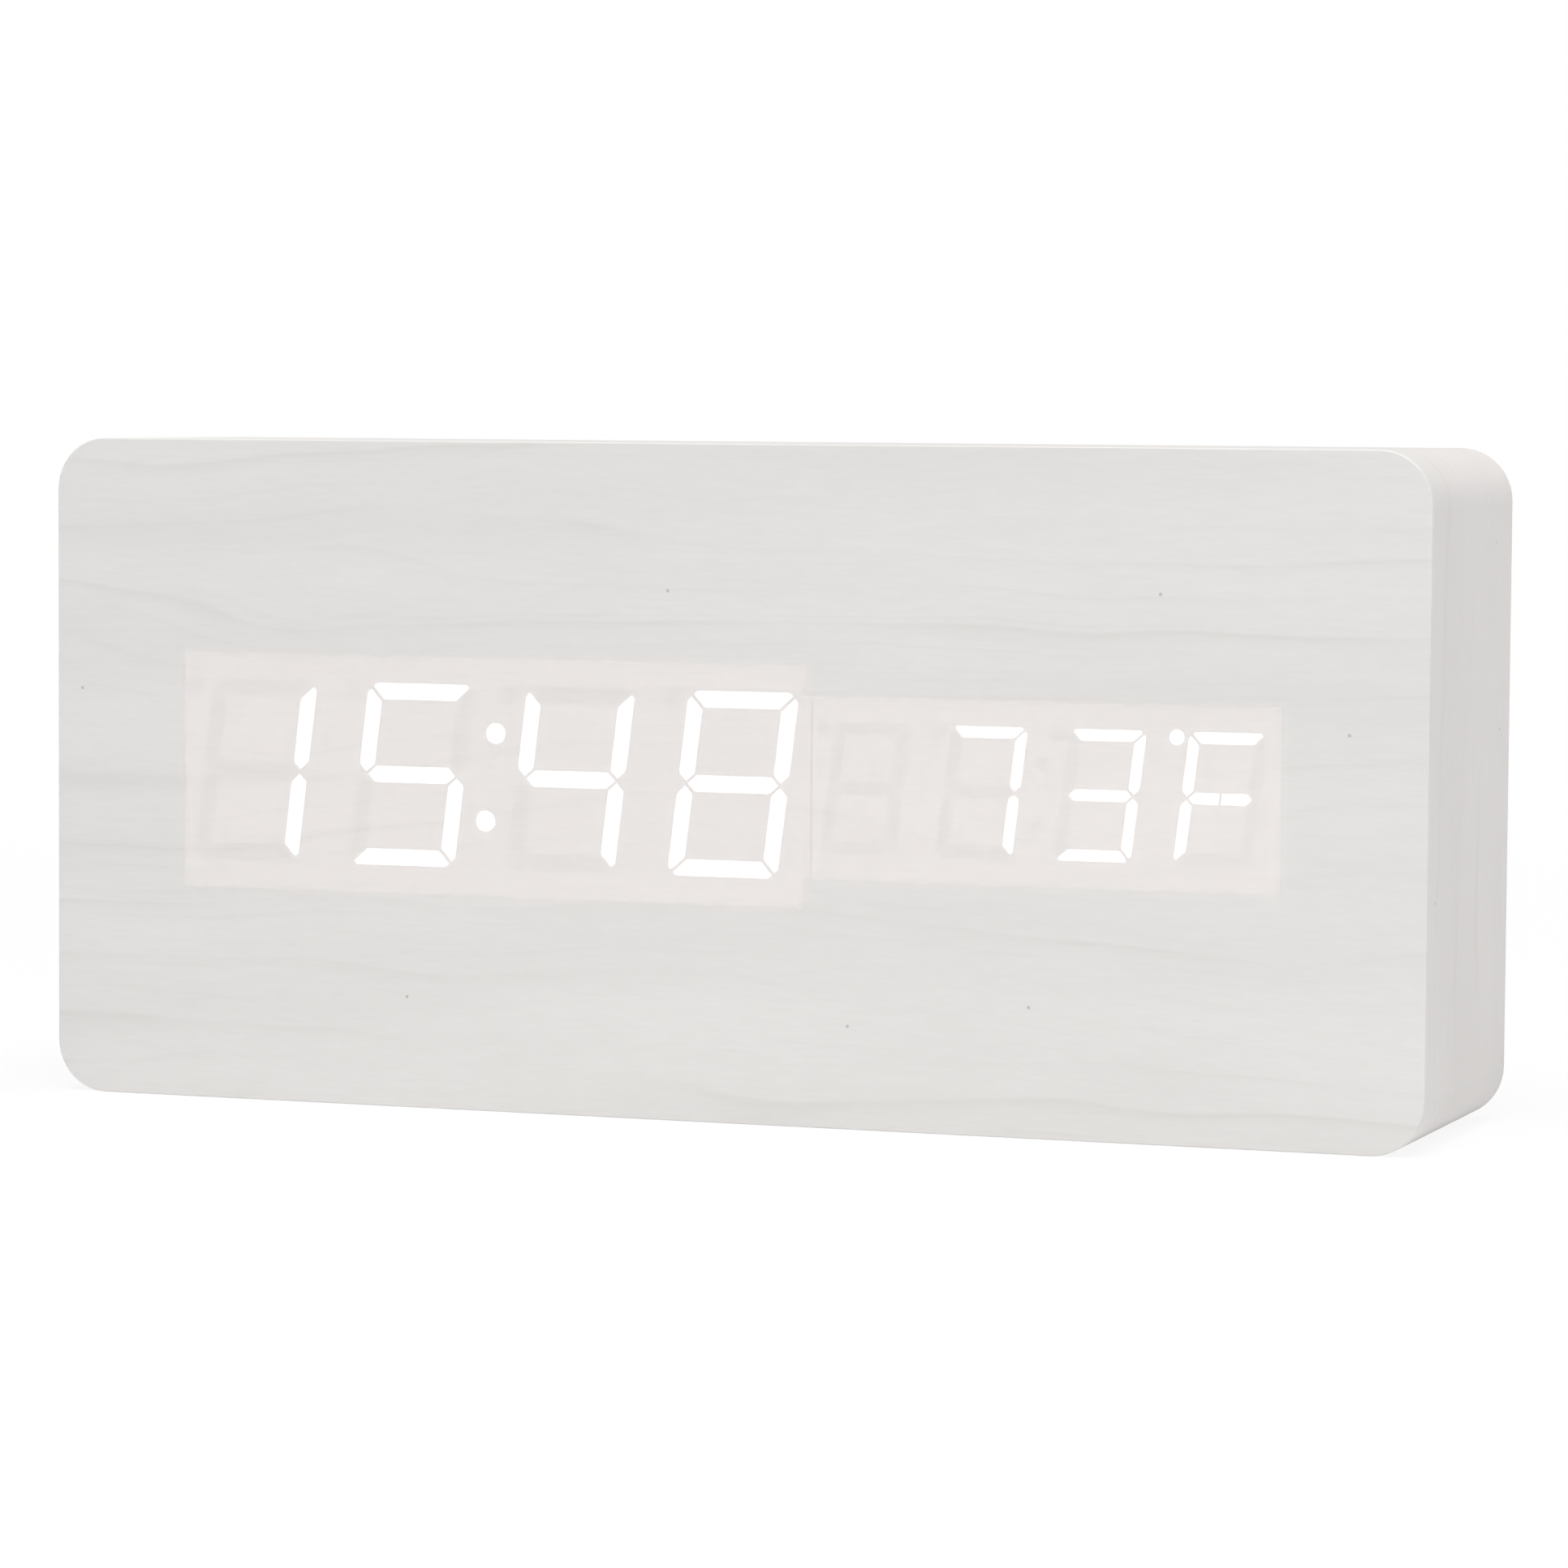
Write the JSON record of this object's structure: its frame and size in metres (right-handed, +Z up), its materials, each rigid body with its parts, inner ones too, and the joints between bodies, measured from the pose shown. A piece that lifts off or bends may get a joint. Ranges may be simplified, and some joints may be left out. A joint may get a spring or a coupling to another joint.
{
  "type": "digital desk clock",
  "caption": "Digital LED desk clock: a white wood-grain block whose time and temperature digits shine through the front, with rear push buttons, power socket and battery door.",
  "frame": {"origin": "centre of the underside, on the surface the clock stands on", "axes": "+X to the right as seen from the front, -Y out of the display face, +Z up"},
  "size_m": [0.15, 0.036, 0.07],
  "materials": {
    "mdf": "routed, raw",
    "white_veneer": "satin, faint grain",
    "display_white": "matte",
    "lit_diffuser": "glowing",
    "diffuser": "matte",
    "circuit_board": "solder mask",
    "black_plastic": "matte",
    "socket_plastic": "matte",
    "plated_steel": "plated",
    "brass": "bright",
    "white_abs": "fine texture",
    "plunger_plastic": "matte",
    "cell_sleeve": "gloss film",
    "ribbon_film": "satin",
    "sensor_epoxy": "dipped",
    "red_wire": "satin",
    "black_wire": "satin"
  },
  "bodies": {
    "case": {"case_body": "mdf", "front_veneer": "white_veneer", "edge_veneer": "white_veneer", "rear_veneer": "white_veneer", "time_display_housing": "display_white", "temp_display_housing": "display_white", "time_digit_4": "lit_diffuser", "time_colon": "lit_diffuser", "time_digit_1": "diffuser", "time_digit_2": "diffuser", "time_digit_3": "diffuser", "time_dots": "diffuser", "temp_digit_1": "diffuser", "temp_digit_2": "diffuser", "temp_digit_3": "diffuser", "temp_digit_4": "diffuser", "temp_colon": "diffuser", "temp_dots": "diffuser", "display_board": "circuit_board", "key_board": "circuit_board", "control_chip": "black_plastic", "buzzer": "black_plastic", "power_jack": "black_plastic", "switch_bodies": "black_plastic", "display_ribbon_socket": "socket_plastic", "key_ribbon_socket": "socket_plastic", "panel_screws": "plated_steel", "display_board_screws": "plated_steel", "key_board_screws": "plated_steel", "negative_terminal": "plated_steel", "positive_terminal": "plated_steel", "cell_links": "plated_steel", "clock_crystal": "plated_steel", "microphone": "plated_steel", "display_pins": "plated_steel", "power_jack_pin": "brass", "back_panel": "white_abs", "aaa_cells": "cell_sleeve", "ribbon_cable": "ribbon_film", "thermistor": "sensor_epoxy", "positive_lead": "red_wire", "negative_lead": "black_wire"},
    "battery_door": {"battery_door": "white_abs"},
    "mode_button": {"mode_button": "white_abs", "mode_switch_plunger": "plunger_plastic"},
    "up_button": {"up_button": "white_abs", "up_switch_plunger": "plunger_plastic"},
    "down_button": {"down_button": "white_abs", "down_switch_plunger": "plunger_plastic"}
  },
  "joints": [
    {"name": "battery_door_hinge", "type": "hinge", "parent": "case", "child": "battery_door", "pos_m": [-0.053, 0.0152, 0.035], "axis": [0, 0, 1], "range_deg": [0, 90]},
    {"name": "mode_button_press", "type": "slide", "parent": "case", "child": "mode_button", "axis": [0, -1, 0], "range_m": [0, 0.0005], "stiffness_N_per_m": 1600},
    {"name": "up_button_press", "type": "slide", "parent": "case", "child": "up_button", "axis": [0, -1, 0], "range_m": [0, 0.0005], "stiffness_N_per_m": 1600},
    {"name": "down_button_press", "type": "slide", "parent": "case", "child": "down_button", "axis": [0, -1, 0], "range_m": [0, 0.0005], "stiffness_N_per_m": 1600}
  ]
}
